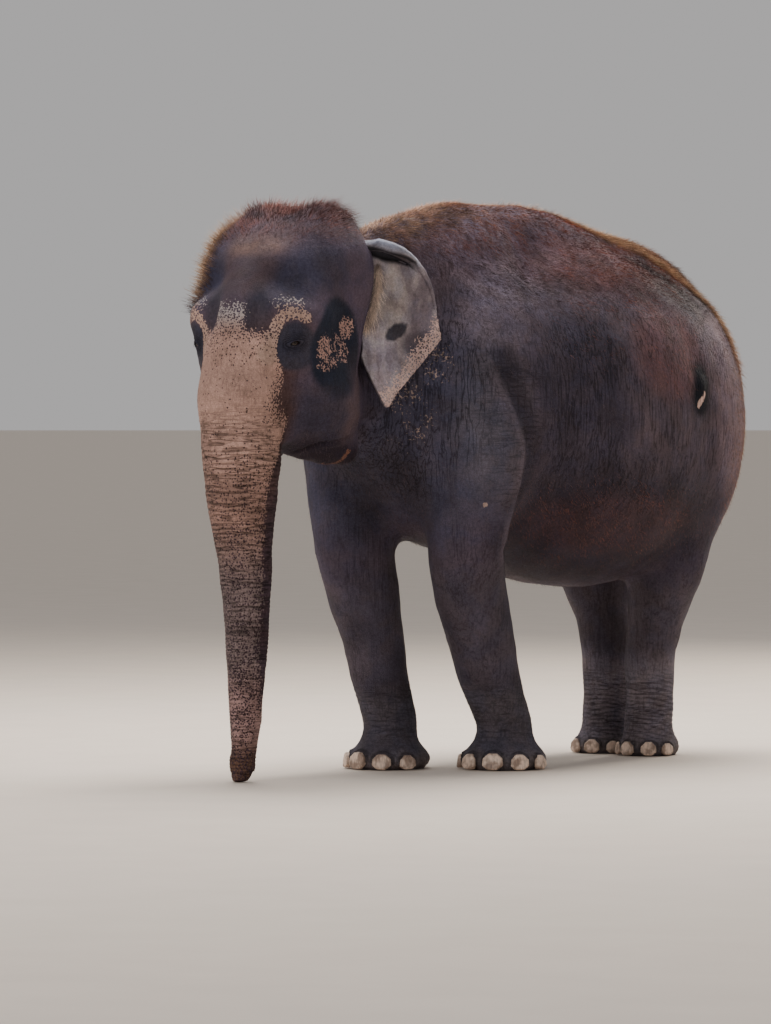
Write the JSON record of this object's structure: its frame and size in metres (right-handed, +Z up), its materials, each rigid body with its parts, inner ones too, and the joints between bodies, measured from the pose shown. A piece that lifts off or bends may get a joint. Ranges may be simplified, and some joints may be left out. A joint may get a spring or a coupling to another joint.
{
  "type": "asian elephant",
  "caption": "Life-size museum-style model of a standing adult cow Asian elephant, head low, trunk hanging straight down to the ground.",
  "frame": {"origin": "centre of the bottom of the bounding box, on the ground", "axes": "+X to the animal's left, -Y forwards along its body, +Z up"},
  "size_m": [1.2796, 3.3036, 2.3811],
  "materials": {
    "hide": "dark grey-brown wrinkled hide with sparse hair",
    "face_hide": "dark grey-brown hide with pale speckled patches",
    "pale_hide": "pinkish-tan ringed hide with dark speckles",
    "ear_hide": "thin taupe-grey hide",
    "nail": "worn horn, beige",
    "eye": "wet dark brown",
    "hair": "coarse dark bristles"
  },
  "bodies": {
    "root": {"ear_left": "ear_hide", "ear_right": "ear_hide", "eye_left": "eye", "eye_right": "eye", "foreleg_left_foot": "hide", "foreleg_left_lower": "hide", "foreleg_left_nail_1": "nail", "foreleg_left_nail_2": "nail", "foreleg_left_nail_3": "nail", "foreleg_left_nail_4": "nail", "foreleg_left_nail_5": "nail", "foreleg_left_upper": "hide", "foreleg_right_foot": "hide", "foreleg_right_lower": "hide", "foreleg_right_nail_1": "nail", "foreleg_right_nail_2": "nail", "foreleg_right_nail_3": "nail", "foreleg_right_nail_4": "nail", "foreleg_right_nail_5": "nail", "foreleg_right_upper": "hide", "head": "face_hide", "hindleg_left_foot": "hide", "hindleg_left_lower": "hide", "hindleg_left_nail_1": "nail", "hindleg_left_nail_2": "nail", "hindleg_left_nail_3": "nail", "hindleg_left_nail_4": "nail", "hindleg_left_upper": "hide", "hindleg_right_foot": "hide", "hindleg_right_lower": "hide", "hindleg_right_nail_1": "nail", "hindleg_right_nail_2": "nail", "hindleg_right_nail_3": "nail", "hindleg_right_nail_4": "nail", "hindleg_right_upper": "hide", "lower_jaw": "face_hide", "neck": "hide", "tail": "hide", "tail_tuft": "hair", "torso": "hide", "trunk_lower": "pale_hide", "trunk_middle": "pale_hide", "trunk_tip": "pale_hide", "trunk_upper": "pale_hide"}
  },
  "joints": []
}
